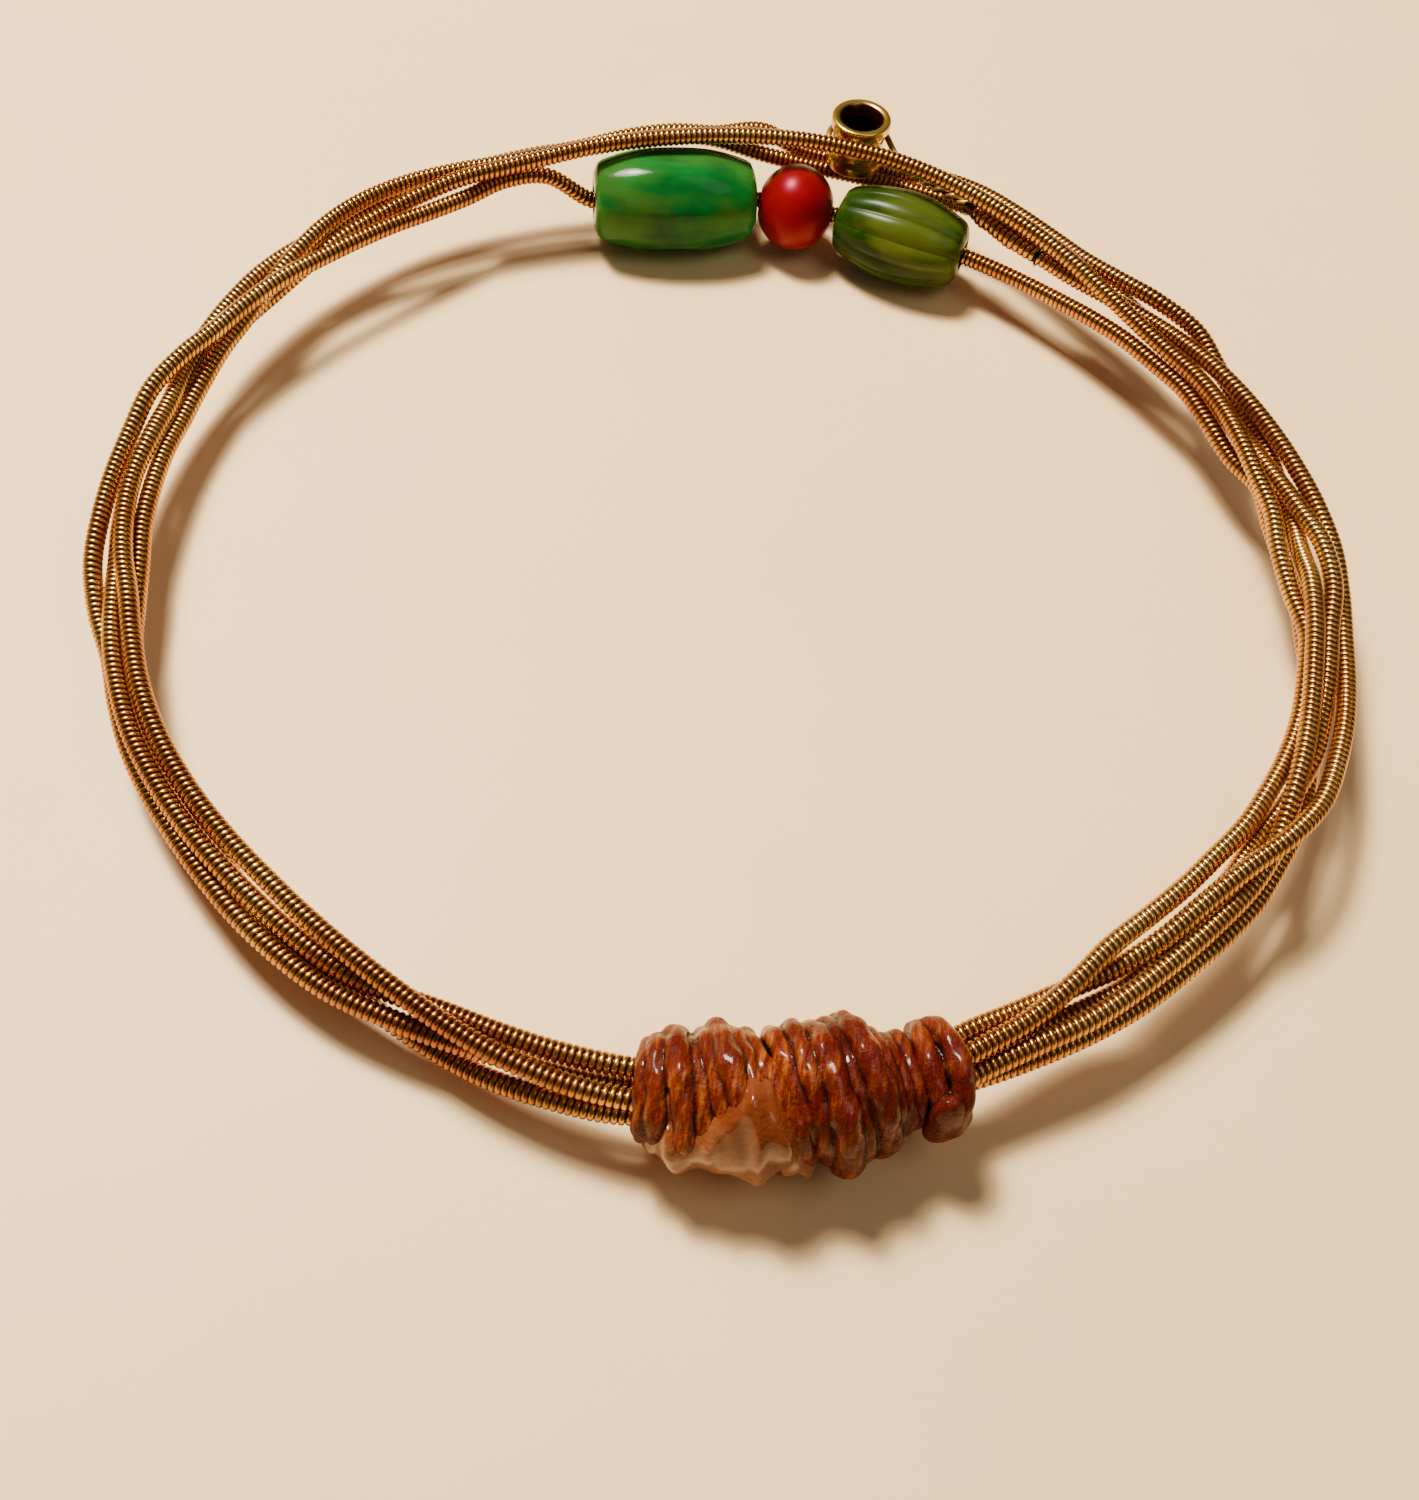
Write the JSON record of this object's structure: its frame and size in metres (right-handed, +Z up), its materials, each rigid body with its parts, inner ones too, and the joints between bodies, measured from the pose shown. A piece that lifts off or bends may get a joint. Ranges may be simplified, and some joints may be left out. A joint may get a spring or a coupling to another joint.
{
  "type": "wound string bracelet",
  "caption": "Rigid ring bracelet of twisted wound metal string with round and barrel beads at the back, a grooved ball end and a glued cord binding at the front.",
  "frame": {"origin": "middle of the wrist opening, on the surface the bracelet rests on", "axes": "+Z up out of the ring's plane, +Y towards the beads, -Y towards the binding, +X to the side the string's ball end is wound to"},
  "size_m": [0.0681, 0.0725, 0.0078],
  "materials": {
    "bronze_winding": "tarnished bronze wire wrap, fine ridges",
    "steel_core": "drawn steel wire",
    "ball_brass": "polished, dark recesses",
    "green_glass": "clear emerald green",
    "red_satin": "satin pearl sheen",
    "resin_cord": "resin-soaked twisted cord, glossy",
    "dried_glue": "translucent dried glue"
  },
  "bodies": {
    "bracelet": {"turn_1_winding": "bronze_winding", "turn_2_winding": "bronze_winding", "turn_3_winding": "bronze_winding", "turn_4_winding": "bronze_winding", "turn_5_winding": "bronze_winding", "overwound_end": "bronze_winding", "turn_1_core": "steel_core", "turn_2_core": "steel_core", "turn_3_core": "steel_core", "turn_4_core": "steel_core", "turn_5_core": "steel_core", "core_loop": "steel_core", "binding_cord_left": "resin_cord", "binding_cord_right": "resin_cord", "binding_last_loop": "resin_cord", "dried_glue": "dried_glue"},
    "ball": {"ball_end": "ball_brass"},
    "left_bead": {"left_green_bead": "green_glass"},
    "middle_bead": {"red_bead": "red_satin"},
    "right_bead": {"right_green_bead": "green_glass"}
  },
  "joints": [
    {"name": "left_bead_spin", "type": "hinge", "parent": "bracelet", "child": "left_bead", "pos_m": [-0.00642, 0.02905, 0.00315], "axis": [-0.9775, -0.2111, 0], "continuous": true},
    {"name": "red_bead_spin", "type": "hinge", "parent": "bracelet", "child": "middle_bead", "pos_m": [0.00137, 0.03013, 0.00302], "axis": [-0.9987, 0.0165, 0.0483], "continuous": true},
    {"name": "right_bead_spin", "type": "hinge", "parent": "bracelet", "child": "right_bead", "pos_m": [0.00833, 0.02891, 0.0029], "axis": [-0.9654, 0.2607, 0], "continuous": true},
    {"name": "ball_end_spin", "type": "hinge", "parent": "bracelet", "child": "ball", "pos_m": [0.00477, 0.03397, 0.006], "axis": [0, 0, 1], "continuous": true}
  ]
}
